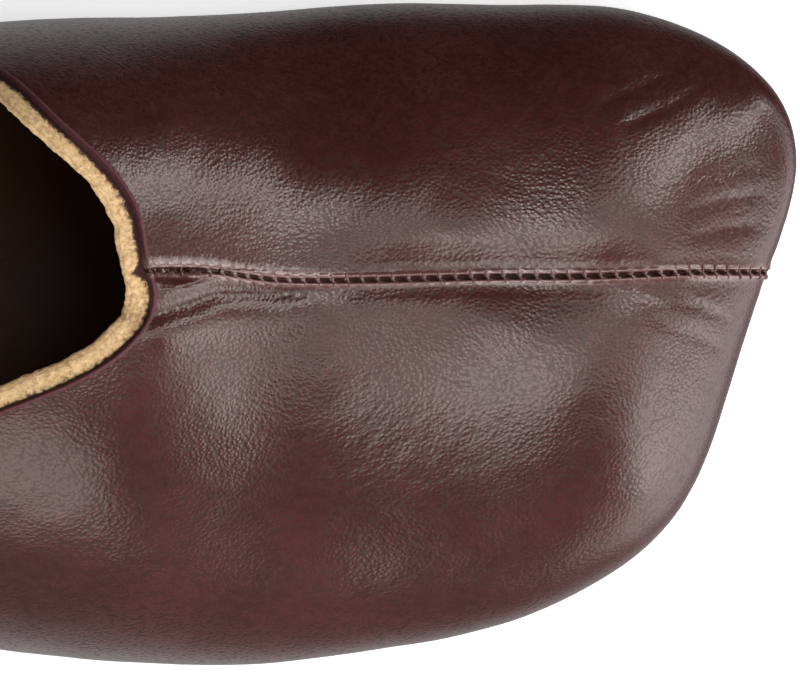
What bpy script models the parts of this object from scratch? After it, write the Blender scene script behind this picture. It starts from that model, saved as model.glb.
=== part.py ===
"""A woman's right pump of soft leather with a mid block heel, built on a last worked out from a few sizes.

Metres, +Z up. The toe points along +X, the inner (medial) side of the foot is +Y, the floor is z = 0 and the
origin is on the floor under the middle of the shoe. Table lengths are in millimetres; MM turns them to metres.
"""

import bmesh
import bpy
import math
import numpy as np

MM = 0.001

# Driving sizes, in metres
LENGTH = 250.0 * MM  # heel back to toe tip
BALL_WIDTH = 92.4 * MM  # across the widest stretch
INSTEP = 67.0 * MM  # top of the instep over the floor, at the middle of the foot
HEEL_RISE = 50.0 * MM  # outsole's underside above the floor at the heel seat
TOE_SPRING = 4.0 * MM
WALL = 2.8 * MM  # outer leather and tan lining together
SOLE = 3.0 * MM  # outsole thickness
INSOLE = 2.0 * MM
INSOLE_INSET = 1.3 * MM  # insole's edge inside the feather edge
MARGIN = 10.0 * MM  # upper leather turned in under the insole
GAP = 0.3 * MM  # between neighbouring pieces
TIP = 6.0 * MM  # rubber top piece under the heel

# The tables are drawn for these sizes; ALONG, ACROSS and UP turn their millimetres to metres of this shoe
DRAWN_LENGTH, DRAWN_BALL, DRAWN_INSTEP = 250.0, 92.4, 67.0
ALONG, ACROSS, UP = LENGTH / DRAWN_LENGTH, BALL_WIDTH / DRAWN_BALL, INSTEP / DRAWN_INSTEP

SEAM_Y = 8.5 * ACROSS  # the middle seam, where the two vamp halves meet, inside the origin's line
TOE_X = LENGTH / 2
HEEL_X = -LENGTH / 2

# The last, at stations along the shoe. centre is the middle line's y from the seam line. inner and outer are half
# widths at the widest line. Heights are over the feather edge: bulge is the widest line's, crown is that of the
# (partly open) top. full is how square the section is. inset is how far the feather edge lies inside the widest
# line.
SECTION_COLUMNS = {
    "x": ALONG, "centre": ACROSS, "inner": ACROSS, "outer": ACROSS, "bulge_in": UP, "bulge_out": UP,
    "crown_in": UP, "crown_out": UP, "full_in": 1.0, "full_out": 1.0, "inset_in": ACROSS, "inset_out": ACROSS,
}
SECTIONS = (
    # x  centre inner outer bul_i bul_o cr_in cr_out ful_i ful_o in_i in_o
    (-125, -4.0, 31.5, 33.5, 17.0, 17.0, 70.7, 70.7, 3.00, 3.00, 5.0, 5.0),  # heel back
    (-88, -4.0, 31.5, 33.5, 17.0, 17.0, 60.1, 60.1, 2.90, 2.90, 5.5, 6.0),  # heel
    (-50, -3.2, 30.0, 37.0, 19.0, 15.0, 63.0, 60.0, 2.80, 2.60, 10.0, 9.0),  # shank
    (-15, -1.4, 31.2, 46.0, 19.0, 11.5, 73.2, 65.2, 2.70, 2.10, 13.0, 11.0),  # waist
    (14, 0.0, 34.7, 52.7, 15.0, 9.0, 72.6, 63.6, 2.85, 1.75, 10.0, 11.0),  # instep
    (36, 0.0, 35.5, 54.7, 11.0, 7.0, 57.2, 57.2, 2.55, 1.75, 8.0, 11.0),  # throat
    (52, 0.0, 36.4, 54.6, 8.5, 6.5, 44.6, 44.6, 2.50, 1.95, 7.5, 10.0),  # ball
    (69, 0.0, 37.6, 52.4, 7.0, 6.2, 36.1, 36.1, 2.60, 2.30, 7.5, 9.0),
    (84, 0.0, 38.0, 50.8, 6.3, 6.0, 31.8, 31.8, 2.80, 2.65, 7.5, 8.0),  # toes
    (100, 0.0, 39.6, 49.4, 5.6, 5.6, 30.3, 30.3, 2.80, 2.80, 7.5, 7.5),
    (125, 0.0, 37.5, 53.3, 5.2, 5.2, 17.0, 17.0, 3.00, 3.00, 7.5, 7.5),  # toe tip
)

# Ends of the plan outline: superellipse ends over the half widths
END_POWER = 2.15
TOE_PIVOT = 66.0 * ALONG  # the toe end starts to close here
TOE_REACH = (55.0 * ALONG, 15.3 * ALONG, 18.1 * ALONG)  # pivot to outline: at the seam, slant and bow per REACH_STEP
REACH_STEP = 40.0 * ACROSS
HEEL_PIVOT = -87.0 * ALONG

# The underside runs flat under the ball and rises to the heel seat
SHANK_FRONT = 22.0 * ALONG
SHANK_RUN = 130.0 * ALONG
SPRING_FROM = 88.0 * ALONG

# The spine that the wall lines fan out from, and how much run a fan counts for
SPINE_FRONT = 10.0 * ALONG
SPINE_BACK = -84.0 * ALONG
FAN = 30.0 * ALONG

# Top line of the opening from the throat to the back, each side: y is from the seam line
COLLAR_COLUMNS = {"x_in": ALONG, "y_in": ACROSS, "x_out": ALONG, "y_out": ACROSS}
COLLAR = (
    # x_in  y_in  x_out  y_out
    (35.6, 1.2, 36.5, -4.2),  # throat
    (34.4, 7.6, 34.3, -9.0),
    (30.6, 13.8, 28.5, -13.8),
    (23.0, 21.0, 14.5, -19.8),
    (14.0, 28.0, -4.0, -27.8),
    (4.0, 28.2, -17.0, -32.0),
    (-8.0, 26.2, -32.0, -34.4),
    (-32.0, 24.2, -48.0, -35.2),
    (-62.0, 24.0, -68.0, -34.9),
    (-90.0, 22.5, -90.0, -32.5),
    (-110.0, 14.6, -110.0, -23.8),
)
COLLAR_BACK = (-118.5, -4.0)

# The heel: its seat runs from the back of the sole to the breast, its foot is the rubber top piece
SOLE_OUTSET = 1.5 * MM  # sole edge outside the feather edge
HEEL_SETBACK = 0.5 * MM  # heel seat inside the sole edge
HEEL_CURVE = 0.8  # under 1 draws the heel in soon below the seat
BREAST_SEAT = -70.0 * ALONG
BREAST_TIP = -79.0 * ALONG
TIP_BACK = -115.0 * ALONG
TIP_WIDTH = 38.0 * MM
TIP_MIDDLE = -4.0 * ACROSS
TIP_ROUND_PART = 0.55  # of the top piece's length that its round back takes

# Mesh and search counts
COLLAR_STEPS = 600
TURN_STEPS = 240  # for measuring the outline
ARC_STEPS = 120  # for measuring a wall line over the top
HALVINGS = 40  # in the search for the outline
OVERLAP = 3  # points that a closed curve's spline runs past its start
EDGE_STEPS = 200
UPPER_LINES = 42  # from the front seam to the back seam, each side
UPPER_ROWS = (9, 6, 2)  # over the top, down to the feather edge, along the turned-in margin
PLATE_STATIONS = 52
HEEL_STATIONS = 14
HEEL_LEVELS = 6
MERGE = 0.02 * MM
SHARP = math.radians(35)

INNER, OUTER = 1, -1  # sides of the seam line


def spline(stations, values):
    """A natural cubic spline through the points, straight beyond its ends."""
    stations, values = np.array(stations, float), np.array(values, float)
    count, step = len(stations), np.diff(stations)
    matrix, right = np.eye(count), np.zeros((count,) + values.shape[1:])
    for i in range(1, count - 1):
        matrix[i, i - 1: i + 2] = step[i - 1], 2 * (step[i - 1] + step[i]), step[i]
        right[i] = 6 * ((values[i + 1] - values[i]) / step[i] - (values[i] - values[i - 1]) / step[i - 1])
    bend = np.linalg.solve(matrix, right)

    def at(where):
        i = min(max(int(np.searchsorted(stations, where)) - 1, 0), count - 2)
        inside = min(max(where, stations[0]), stations[-1])
        a, b, h = stations[i + 1] - inside, inside - stations[i], step[i]
        value = (bend[i] * a**3 + bend[i + 1] * b**3) / (6 * h)
        value = value + (values[i] / h - bend[i] * h / 6) * a + (values[i + 1] / h - bend[i + 1] * h / 6) * b
        slope = (bend[i + 1] * b**2 - bend[i] * a**2) / (2 * h)
        slope = slope + (values[i + 1] - values[i]) / h - (bend[i + 1] - bend[i]) * h / 6
        return value + slope * (where - inside)

    return at


def section_curves():
    """The columns of the section table as functions of x, in metres."""
    rows = np.array(SECTIONS, float) * list(SECTION_COLUMNS.values())
    return {name: spline(rows[:, 0], rows[:, i]) for i, name in enumerate(SECTION_COLUMNS) if i}


LAST = section_curves()


def of_side(name, side, x):
    """One side's value from the section table, in metres; half is the half width."""
    if name == "half":
        return float(LAST["inner" if side == INNER else "outer"](x))
    return float(LAST[name + ("_in" if side == INNER else "_out")](x))


def smoother(t):
    t = min(max(t, 0.0), 1.0)
    return t * t * t * (10 - 15 * t + 6 * t * t)


def floor_side(x):
    """Height of the outsole's underside."""
    rise = HEEL_RISE * smoother((SHANK_FRONT - x) / SHANK_RUN)
    spring = TOE_SPRING * max(x - SPRING_FROM, 0.0) ** 2 / (TOE_X - SPRING_FROM) ** 2
    return rise + spring


def above_floor_side(x, thickness):
    """Height of a layer that lies this far above the underside, measured square to it."""
    step = 0.5 * MM
    slope = (floor_side(x + step) - floor_side(x - step)) / (2 * step)
    return floor_side(x) + thickness * math.hypot(1, slope)


def feather(x):
    """Height of the feather edge, where the upper turns under."""
    return above_floor_side(x, SOLE + GAP)


def gauge(x, y):
    """0 on the middle line, 1 on the plan outline of the widest line. y is from the seam line."""
    across = y - float(LAST["centre"](x))
    side = INNER if across >= 0 else OUTER
    share = (abs(across) / of_side("half", side, x)) ** END_POWER
    if x > TOE_PIVOT:
        bow = y / REACH_STEP
        reach = TOE_REACH[0] + TOE_REACH[1] * bow + TOE_REACH[2] * bow * bow
        share += ((x - TOE_PIVOT) / reach) ** END_POWER
    if x < HEEL_PIVOT:
        share += ((HEEL_PIVOT - x) / (HEEL_PIVOT - HEEL_X)) ** END_POWER
    return share ** (1 / END_POWER)


def top_height(x, y):
    """Height of the leather above the plan point, up from the widest line."""
    side = INNER if y >= float(LAST["centre"](x)) else OUTER
    low = feather(x) + of_side("bulge", side, x)
    high = feather(x) + of_side("crown", side, x)
    return low + (high - low) * math.sqrt(max(1 - gauge(x, y) ** of_side("full", side, x), 0.0))


def spine_ray(side, turn):
    """The wall line at this turn: its start on the spine and its direction away from it, in plan."""
    quarter = FAN * math.pi / 2
    run = SPINE_FRONT - SPINE_BACK
    if turn <= quarter:
        x, angle = SPINE_FRONT, turn / FAN
    elif turn <= quarter + run:
        x, angle = SPINE_FRONT - (turn - quarter), math.pi / 2
    else:
        x, angle = SPINE_BACK, math.pi / 2 + (turn - quarter - run) / FAN
    start = np.array((x, float(LAST["centre"](x))))
    return start, np.array((math.cos(angle), side * math.sin(angle)))


FULL_TURN = FAN * math.pi + SPINE_FRONT - SPINE_BACK


def outline_reach(side, turn):
    """Distance from the spine to the plan outline along a wall line."""
    start, ahead = spine_ray(side, turn)
    near, far = 0.0, LENGTH
    for _ in range(HALVINGS):
        middle = (near + far) / 2
        if gauge(*(start + ahead * middle)) < 1:
            near = middle
        else:
            far = middle
    return near


def closed_curve(points, count):
    """Points along a smooth closed curve through these."""
    points = np.array(points, float)
    ring = np.concatenate([points[-OVERLAP:], points, points[: OVERLAP + 1]])
    along = np.concatenate([[0], np.cumsum(np.linalg.norm(np.diff(ring, axis=0), axis=1))])
    curve = spline(along, ring)
    return np.array([curve(t) for t in np.linspace(along[OVERLAP], along[OVERLAP + len(points)], count)])


def collar_reach():
    """For each side, the distance from the spine to the collar as a function of the turn."""
    rows = np.array(COLLAR) * list(COLLAR_COLUMNS.values())
    back = np.array([COLLAR_BACK]) * (ALONG, ACROSS)
    loop = closed_curve(np.concatenate([rows[:, :2], back, rows[::-1, 2:]]), COLLAR_STEPS)
    reaches = {}
    for side in (INNER, OUTER):
        found = []
        for x, y in loop:
            pivot = min(max(x, SPINE_BACK), SPINE_FRONT)
            ahead, aside = x - pivot, side * (y - float(LAST["centre"](pivot)))
            if ahead == 0 and aside < 0:  # beside the spine, on the other side
                continue
            angle = math.atan2(aside, ahead)
            if ahead < 0 and angle < 0:
                angle += 2 * math.pi
            turn = FAN * angle + SPINE_FRONT - pivot
            if -FAN / 2 < turn < FULL_TURN + FAN / 2:
                found.append((turn, math.hypot(ahead, aside)))
        found = np.array(sorted(found))
        reaches[side] = lambda turn, table=found: float(np.interp(turn, table[:, 0], table[:, 1]))
    return reaches


COLLAR_REACH = collar_reach()


def wall_line(side, turn):
    """Points of the upper's outer face from the collar over the widest line to the end of the turned-in margin."""
    over, under, margin = UPPER_ROWS
    start, ahead = spine_ray(side, turn)
    edge, reach = COLLAR_REACH[side](turn), outline_reach(side, turn)
    points = []
    dense = []
    for k in range(ARC_STEPS + 1):
        angle = math.pi / 2 * k / ARC_STEPS
        share = math.sin(angle)
        at = start + ahead * (edge + (reach - edge) * share)
        dense.append((at[0], at[1], top_height(at[0], at[1])))
    dense = np.array(dense)
    along = np.concatenate([[0], np.cumsum(np.linalg.norm(np.diff(dense, axis=0), axis=1))])
    for t in np.linspace(0, along[-1], over + 1):
        points.append([np.interp(t, along, dense[:, i]) for i in range(3)])
    rim = start + ahead * reach
    inset, low = of_side("inset", side, rim[0]), feather(rim[0])
    high = dense[-1][2]
    for k in range(1, under + 1):
        angle = math.pi / 2 * k / under
        at = rim - ahead * inset * (1 - math.cos(angle))
        level = feather(at[0])
        points.append((at[0], at[1], level + (high - low) * (1 - math.sin(angle))))
    for k in range(1, margin + 1):
        at = rim - ahead * (inset + MARGIN * k / margin)
        points.append((at[0], at[1], feather(at[0])))
    return np.array(points)


def outline_turns(count):
    """Turns shared by both sides, about evenly spaced along the plan outline from the front seam to the back."""
    turns = np.linspace(0, FULL_TURN, TURN_STEPS)
    lengths = []
    for side in (INNER, OUTER):
        points = []
        for turn in turns:
            start, ahead = spine_ray(side, turn)
            points.append(start + ahead * outline_reach(side, turn))
        lengths.append(np.concatenate([[0], np.cumsum(np.linalg.norm(np.diff(points, axis=0), axis=1))]))
    along = (lengths[0] + lengths[1]) / 2
    return [float(np.interp(t, along, turns)) for t in np.linspace(0, along[-1], count + 1)]


def ring_of_turns(count):
    """(side, turn) all the way round: the inner side front to back, then the outer side back to front."""
    turns = outline_turns(count)
    return [(INNER, t) for t in turns] + [(OUTER, t) for t in turns[-2:0:-1]]


def edge_spans(outset):
    """The feather edge moved outwards by outset: its heel x, its toe x, and its lowest and highest y at an x."""
    loop = []
    for side, turn in ring_of_turns(EDGE_STEPS):
        start, ahead = spine_ray(side, turn)
        reach = outline_reach(side, turn)
        rim_x = (start + ahead * reach)[0]
        loop.append(start + ahead * (reach - of_side("inset", side, rim_x) + outset))
    loop = np.roll(loop, -int(np.argmin(loop, axis=0)[0]), axis=0)
    toe = int(loop[:, 0].argmax())
    outer, inner = loop[: toe + 1], np.concatenate([loop[toe:], loop[:1]])[::-1]

    def span(x):
        return float(np.interp(x, outer[:, 0], outer[:, 1])), float(np.interp(x, inner[:, 0], inner[:, 1]))

    return float(loop[0][0]), float(loop[toe][0]), span


def stations(first, last, count):
    """Places between two ends, closer together near them."""
    middle, half = (first + last) / 2, (last - first) / 2
    return [middle - half * math.cos(math.pi * k / count) for k in range(count + 1)]


def in_shoe(point):
    return (float(point[0]), float(point[1]) + SEAM_Y, float(point[2]))


def material(name, colour, roughness, metallic=0.0):
    made = bpy.data.materials.new(name)
    made.use_nodes = True
    shader = made.node_tree.nodes["Principled BSDF"]
    shader.inputs["Base Color"].default_value = (*colour, 1.0)
    shader.inputs["Roughness"].default_value = roughness
    shader.inputs["Metallic"].default_value = metallic
    return made


def add_object(name, bm, finish, collection, crease=None):
    mesh = bpy.data.meshes.new(name)
    bmesh.ops.recalc_face_normals(bm, faces=bm.faces)
    bm.to_mesh(mesh)
    bm.free()
    mesh.shade_smooth()
    if crease:
        mesh.set_sharp_from_angle(angle=crease)
    mesh.materials.append(finish)
    made = bpy.data.objects.new(name, mesh)
    collection.objects.link(made)
    return made


def bridge(bm, lines, closed):
    """Quads between neighbouring lines of points."""
    for i in range(len(lines) if closed else len(lines) - 1):
        line, following = lines[i], lines[(i + 1) % len(lines)]
        for j in range(len(line) - 1):
            bm.faces.new((line[j], line[j + 1], following[j + 1], following[j]))


def build_upper(collection, finish):
    bm = bmesh.new()
    lines = []
    for side, turn in ring_of_turns(UPPER_LINES):
        lines.append([bm.verts.new(in_shoe(p)) for p in wall_line(side, turn)])
    bridge(bm, lines, closed=True)
    upper = add_object("upper", bm, finish, collection)
    wall = upper.modifiers.new("wall", "SOLIDIFY")
    wall.thickness = WALL
    wall.offset = -1.0
    wall.use_even_offset = True


def strip_body(rings):
    """A closed body from rings of four corners each; a ring whose two sides meet is merged to an edge."""
    bm = bmesh.new()
    rings = [[bm.verts.new(in_shoe(p)) for p in ring] for ring in rings]
    bridge(bm, [ring + ring[:1] for ring in rings], closed=False)
    bm.faces.new(rings[0])
    bm.faces.new(rings[-1])
    bmesh.ops.remove_doubles(bm, verts=bm.verts, dist=MERGE)
    return bm


def build_plate(name, collection, finish, outset, low, high):
    """A sole-shaped plate between two levels above the outsole's underside, straight across."""
    heel, toe, span = edge_spans(outset)
    rings = []
    for x in stations(heel, toe, PLATE_STATIONS):
        outer_y, inner_y = span(x)
        below, above = above_floor_side(x, low), above_floor_side(x, high)
        rings.append([(x, outer_y, below), (x, inner_y, below), (x, inner_y, above), (x, outer_y, above)])
    add_object(name, strip_body(rings), finish, collection, SHARP)


def heel_ring(seat, level):
    """Corners of the heel at a level, 0 at the seat and 1 at the top piece: (x, outer y, inner y) from the back."""
    seat_back, _, span = seat
    pull = level ** HEEL_CURVE
    back = seat_back + (TIP_BACK - seat_back) * pull
    front = BREAST_SEAT + (BREAST_TIP - BREAST_SEAT) * pull
    ring = []
    for k in range(HEEL_STATIONS + 1):
        share = (k / HEEL_STATIONS) ** 2
        outer_y, inner_y = span(seat_back + (BREAST_SEAT - seat_back) * share)
        middle, half = (outer_y + inner_y) / 2, (inner_y - outer_y) / 2
        bend = 1 - min(share / TIP_ROUND_PART, 1.0)
        tip_half = TIP_WIDTH / 2 * math.sqrt(1 - bend * bend)
        half += (tip_half - half) * pull
        middle += (TIP_MIDDLE - middle) * pull
        ring.append((back + (front - back) * share, middle - half, middle + half))
    return ring


def build_heel(collection, finish, seat):
    """A covered block: its top follows the outsole, its foot is level."""
    bm = bmesh.new()
    foot = TIP + GAP
    layers = []
    for n in range(HEEL_LEVELS + 1):
        level = n / HEEL_LEVELS
        outer_side, inner_side = [], []
        for x, outer_y, inner_y in heel_ring(seat, level):
            top = above_floor_side(x, -GAP)
            z = top + (foot - top) * level
            outer_side.append(bm.verts.new(in_shoe((x, outer_y, z))))
            inner_side.append(bm.verts.new(in_shoe((x, inner_y, z))))
        layers.append((outer_side, inner_side))
    bridge(bm, [outer + inner[::-1] + outer[:1] for outer, inner in layers], closed=False)
    for outer, inner in (layers[0], layers[-1]):
        bridge(bm, [list(pair) for pair in zip(outer, inner)], closed=False)
    bmesh.ops.remove_doubles(bm, verts=bm.verts, dist=MERGE)
    add_object("heel", bm, finish, collection, SHARP)


def build_heel_tip(collection, finish, seat):
    rings = []
    for x, outer_y, inner_y in heel_ring(seat, 1.0):
        rings.append([(x, outer_y, 0.0), (x, inner_y, 0.0), (x, inner_y, TIP), (x, outer_y, TIP)])
    add_object("heel_tip", strip_body(rings), finish, collection, SHARP)


def main():
    for thing in list(bpy.data.objects):
        bpy.data.objects.remove(thing)
    shoe = bpy.data.collections.new("pump")
    bpy.context.scene.collection.children.link(shoe)
    burgundy = material("burgundy_leather", (0.075, 0.018, 0.020), 0.38)
    covered = material("heel_leather", (0.060, 0.015, 0.017), 0.35)
    tan = material("tan_leather", (0.55, 0.33, 0.15), 0.7)
    sole_leather = material("sole_leather", (0.42, 0.24, 0.12), 0.5)
    rubber = material("black_rubber", (0.02, 0.018, 0.017), 0.6)
    insole_low = SOLE + GAP + WALL + GAP
    build_upper(shoe, burgundy)
    build_plate("insole", shoe, tan, -INSOLE_INSET, insole_low, insole_low + INSOLE)
    build_plate("outsole", shoe, sole_leather, SOLE_OUTSET, 0.0, SOLE)
    seat = edge_spans(SOLE_OUTSET - HEEL_SETBACK)
    build_heel(shoe, covered, seat)
    build_heel_tip(shoe, rubber, seat)


main()
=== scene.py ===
import math

import bmesh
import bpy
import numpy as np
from mathutils import Matrix, Vector


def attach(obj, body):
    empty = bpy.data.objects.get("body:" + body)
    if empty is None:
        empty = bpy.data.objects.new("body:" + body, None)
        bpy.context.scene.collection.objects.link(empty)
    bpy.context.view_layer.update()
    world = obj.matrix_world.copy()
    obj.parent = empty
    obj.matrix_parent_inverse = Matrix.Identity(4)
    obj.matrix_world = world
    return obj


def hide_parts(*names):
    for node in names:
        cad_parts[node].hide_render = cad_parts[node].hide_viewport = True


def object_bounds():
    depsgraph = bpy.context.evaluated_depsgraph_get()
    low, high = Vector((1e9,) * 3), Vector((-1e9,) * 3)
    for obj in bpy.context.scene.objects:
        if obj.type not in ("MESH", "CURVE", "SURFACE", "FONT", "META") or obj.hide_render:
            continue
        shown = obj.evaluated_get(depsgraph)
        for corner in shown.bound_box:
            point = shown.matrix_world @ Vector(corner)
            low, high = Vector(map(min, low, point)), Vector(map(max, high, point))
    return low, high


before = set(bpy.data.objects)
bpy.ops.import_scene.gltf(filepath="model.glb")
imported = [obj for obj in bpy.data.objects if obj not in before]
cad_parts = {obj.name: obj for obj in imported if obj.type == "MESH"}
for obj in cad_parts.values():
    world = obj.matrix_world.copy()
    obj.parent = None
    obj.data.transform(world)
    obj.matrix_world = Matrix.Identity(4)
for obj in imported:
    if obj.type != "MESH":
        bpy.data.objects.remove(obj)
cadLow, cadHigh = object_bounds()
print("frame loaded:", len(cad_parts), "nodes")

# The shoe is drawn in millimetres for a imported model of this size, and scaled to the frame's own box.
# x runs to the toe, y to the inner side of the foot from the middle seam, z up from the floor.
drawnSize = np.array((249.94, 92.51, 104.12))
seamY = 8.5  # the middle seam, inside the origin's line
boxScale = np.array(cadHigh - cadLow) / drawnSize
inner, outer = 1, -1  # the two sides of the seam


def toFrame(points):  # drawn millimetres to the frame's metres
    return (np.asarray(points, float) + (0, seamY, 0)) * boxScale


def smooth(t):
    t = np.clip(t, 0, 1)
    return t * t * t * (10 - 15 * t + 6 * t * t)


def ease(low, high, value):
    return smooth((np.asarray(value, float) - low) / (high - low))


def bell(value, width):
    return np.exp(-((np.asarray(value, float) / width) ** 2))


def spline(stations, values):  # a natural cubic through the points, straight beyond its ends
    xs, ys = np.array(stations, float), np.array(values, float)
    count, step = len(xs), np.diff(xs)
    matrix, right = np.eye(count), np.zeros(count)
    for i in range(1, count - 1):
        matrix[i, i - 1: i + 2] = step[i - 1], 2 * (step[i - 1] + step[i]), step[i]
        right[i] = 6 * ((ys[i + 1] - ys[i]) / step[i] - (ys[i] - ys[i - 1]) / step[i - 1])
    bend = np.linalg.solve(matrix, right)

    def at(where):
        where = np.asarray(where, float)
        i = np.clip(np.searchsorted(xs, where) - 1, 0, count - 2)
        inside = np.clip(where, xs[0], xs[-1])
        a, b, h = xs[i + 1] - inside, inside - xs[i], step[i]
        value = (bend[i] * a**3 + bend[i + 1] * b**3) / (6 * h)
        value = value + (ys[i] / h - bend[i] * h / 6) * a + (ys[i + 1] / h - bend[i + 1] * h / 6) * b
        slope = (bend[i + 1] * b**2 - bend[i] * a**2) / (2 * h)
        slope = slope + (ys[i + 1] - ys[i]) / h - (bend[i + 1] - bend[i]) * h / 6
        return value + slope * (where - inside)

    return at


def waves(x, y, size, seed, count=14):  # a smooth, repeatable unevenness, about -1 to 1
    draw = np.random.default_rng(seed)
    total = np.zeros(np.broadcast(x, y).shape)
    for _ in range(count):
        angle = draw.uniform(0, math.tau)
        length = size * draw.uniform(0.7, 1.6)
        phase = draw.uniform(0, math.tau)
        total += np.sin((x * math.cos(angle) + y * math.sin(angle)) * math.tau / length + phase)
    return total / math.sqrt(count)


def lengthsAlong(points):  # running length of each polyline of an array (..., points, coordinates)
    steps = np.linalg.norm(np.diff(points, axis=-2), axis=-1)
    start = np.zeros(steps.shape[:-1] + (1,))
    return np.concatenate([start, np.cumsum(steps, axis=-1)], axis=-1)


def pointsAt(where, lengths, points):  # at some lengths along a line of points
    return np.stack([np.interp(where, lengths, column) for column in points.T], -1)


def unit(vectors):
    return vectors / np.maximum(np.linalg.norm(vectors, axis=-1, keepdims=True), 1e-9)


# The last, at stations along the shoe: centre is the middle line's y, inner and outer are half widths at the
# widest line. Heights are over the feather edge: bulge is the widest line's and crown the top's. full is how
# square the section is, and inset how far the feather edge lies inside the widest line.
lastColumns = ("x", "centre", "inner", "outer", "bulgeIn", "bulgeOut", "crownIn", "crownOut",
               "fullIn", "fullOut", "insetIn", "insetOut")
lastRows = (
    (-125, -4.0, 31.5, 33.5, 17.0, 17.0, 70.7, 70.7, 3.00, 3.00, 5.0, 5.0),  # heel back
    (-88, -4.0, 31.5, 33.5, 17.0, 17.0, 60.1, 60.1, 2.90, 2.90, 5.5, 6.0),  # heel
    (-50, -3.2, 30.0, 37.0, 19.0, 15.0, 63.0, 60.0, 2.80, 2.60, 10.0, 9.0),  # shank
    (-15, -1.4, 31.2, 46.0, 19.0, 11.5, 73.2, 65.2, 2.70, 2.10, 13.0, 11.0),  # waist
    (14, 0.0, 34.7, 52.7, 15.0, 9.0, 72.6, 63.6, 2.85, 1.75, 10.0, 11.0),  # instep
    (36, 0.0, 35.5, 54.7, 11.0, 7.0, 57.2, 57.2, 2.55, 1.75, 8.0, 11.0),  # throat
    (52, 0.0, 36.4, 54.6, 8.5, 6.5, 44.6, 44.6, 2.50, 1.95, 7.5, 10.0),  # ball
    (69, 0.0, 37.6, 52.4, 7.0, 6.2, 36.1, 36.1, 2.60, 2.30, 7.5, 9.0),
    (84, 0.0, 38.0, 50.8, 6.3, 6.0, 31.8, 31.8, 2.80, 2.65, 7.5, 8.0),  # toes
    (100, 0.0, 39.6, 49.4, 5.6, 5.6, 30.3, 30.3, 2.80, 2.80, 7.5, 7.5),
    (125, 0.0, 37.5, 53.3, 5.2, 5.2, 17.0, 17.0, 3.00, 3.00, 7.5, 7.5),  # toe tip
)
lastTable = np.array(lastRows)
last = {name: spline(lastTable[:, 0], lastTable[:, i]) for i, name in enumerate(lastColumns) if i}

shape = {
    "toeX": 125.0, "heelX": -125.0, "endPower": 2.15,
    "toePivot": 66.0, "toeReach": (55.0, 15.3, 18.1), "reachStep": 40.0, "heelPivot": -87.0,
    "heelRise": 50.0, "shankFront": 22.0, "shankRun": 130.0, "toeSpring": 4.0, "springFrom": 88.0,
    "spineFront": 10.0, "spineBack": -84.0, "fan": 30.0,
    "sole": 3.0, "gap": 0.3, "wall": 2.8,
}


def ofSide(name, x, onInner):  # a column of the last for the side that a point is on
    pair = ("inner", "outer") if name == "half" else (name + "In", name + "Out")
    return np.where(onInner, last[pair[0]](x), last[pair[1]](x))


def floorSide(x):  # height of the outsole's underside
    rise = shape["heelRise"] * smooth((shape["shankFront"] - x) / shape["shankRun"])
    spring = np.maximum(x - shape["springFrom"], 0) ** 2 / (shape["toeX"] - shape["springFrom"]) ** 2
    return rise + shape["toeSpring"] * spring


def aboveFloorSide(x, thickness):  # a thickness over the outsole's underside, measured square to it
    slope = floorSide(x + 0.5) - floorSide(x - 0.5)
    return floorSide(x) + thickness * np.hypot(1, slope)


def feather(x):  # height of the edge where the walls turn in under the insole
    return aboveFloorSide(x, shape["sole"] + shape["gap"])


def gauge(x, y):  # 0 on the middle line, 1 on the plan outline
    across, power = y - last["centre"](x), shape["endPower"]
    share = (np.abs(across) / ofSide("half", x, across >= 0)) ** power
    bow = y / shape["reachStep"]
    reach = shape["toeReach"][0] + shape["toeReach"][1] * bow + shape["toeReach"][2] * bow * bow
    share = share + (np.maximum(x - shape["toePivot"], 0) / reach) ** power
    share = share + (np.maximum(shape["heelPivot"] - x, 0) / (shape["heelPivot"] - shape["heelX"])) ** power
    return share ** (1 / power)


def topHeight(x, y):  # height of the leather over a plan point, up from the widest line
    onInner = y >= last["centre"](x)
    low = feather(x) + ofSide("bulge", x, onInner)
    high = feather(x) + ofSide("crown", x, onInner)
    full = ofSide("full", x, onInner)
    return low + (high - low) * np.sqrt(np.maximum(1 - np.maximum(gauge(x, y), 0) ** full, 0))


# Broad swells (height over 0) and hollows of the soft leather: x, y, half length, half width, degrees it is
# turned from the toe's way, height
swells = (
    (58, 24.5, 13, 7.5, -10, -2.5),  # hollow under the inner highlight
    (80, 15, 12, 6, 0, -0.35),
    (90, 30, 12, 6, 0, 0.9),  # flat of the inner toe
    (108, 30, 7, 5, 0, -0.6),
    (120, 25, 5, 5, 0, 0.9),  # inner corner of the toe
    (117, 8, 6, 6, 0, -0.8),
    (88, -16, 9, 10, 0, 0.7),
    (108, -20, 5, 10, 0, -0.5),
)
valley = {  # the leather dips along the middle seam, further out and further forward on the outer side
    "depth": 1.05, "halfWidth": 3.6, "starts": (50, 72), "ends": (98, 108),
    "outerWider": 1.9, "widens": (72, 92), "outerLater": 4,
}


def swellHeight(x, y):
    halfWidth = valley["halfWidth"] + valley["outerWider"] * ease(*valley["widens"], x) * (y < 0)
    total = -valley["depth"] * bell(y, halfWidth) * ease(*valley["starts"], x)
    total = total * (1 - ease(*valley["ends"], x - valley["outerLater"] * (y < 0)))
    for atX, atY, length, width, turn, height in swells:
        c, s = math.cos(math.radians(turn)), math.sin(math.radians(turn))
        forward, aside = (x - atX) * c + (y - atY) * s, (y - atY) * c - (x - atX) * s
        total = total + height * bell(forward, length) * bell(aside, width)
    return total


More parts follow.
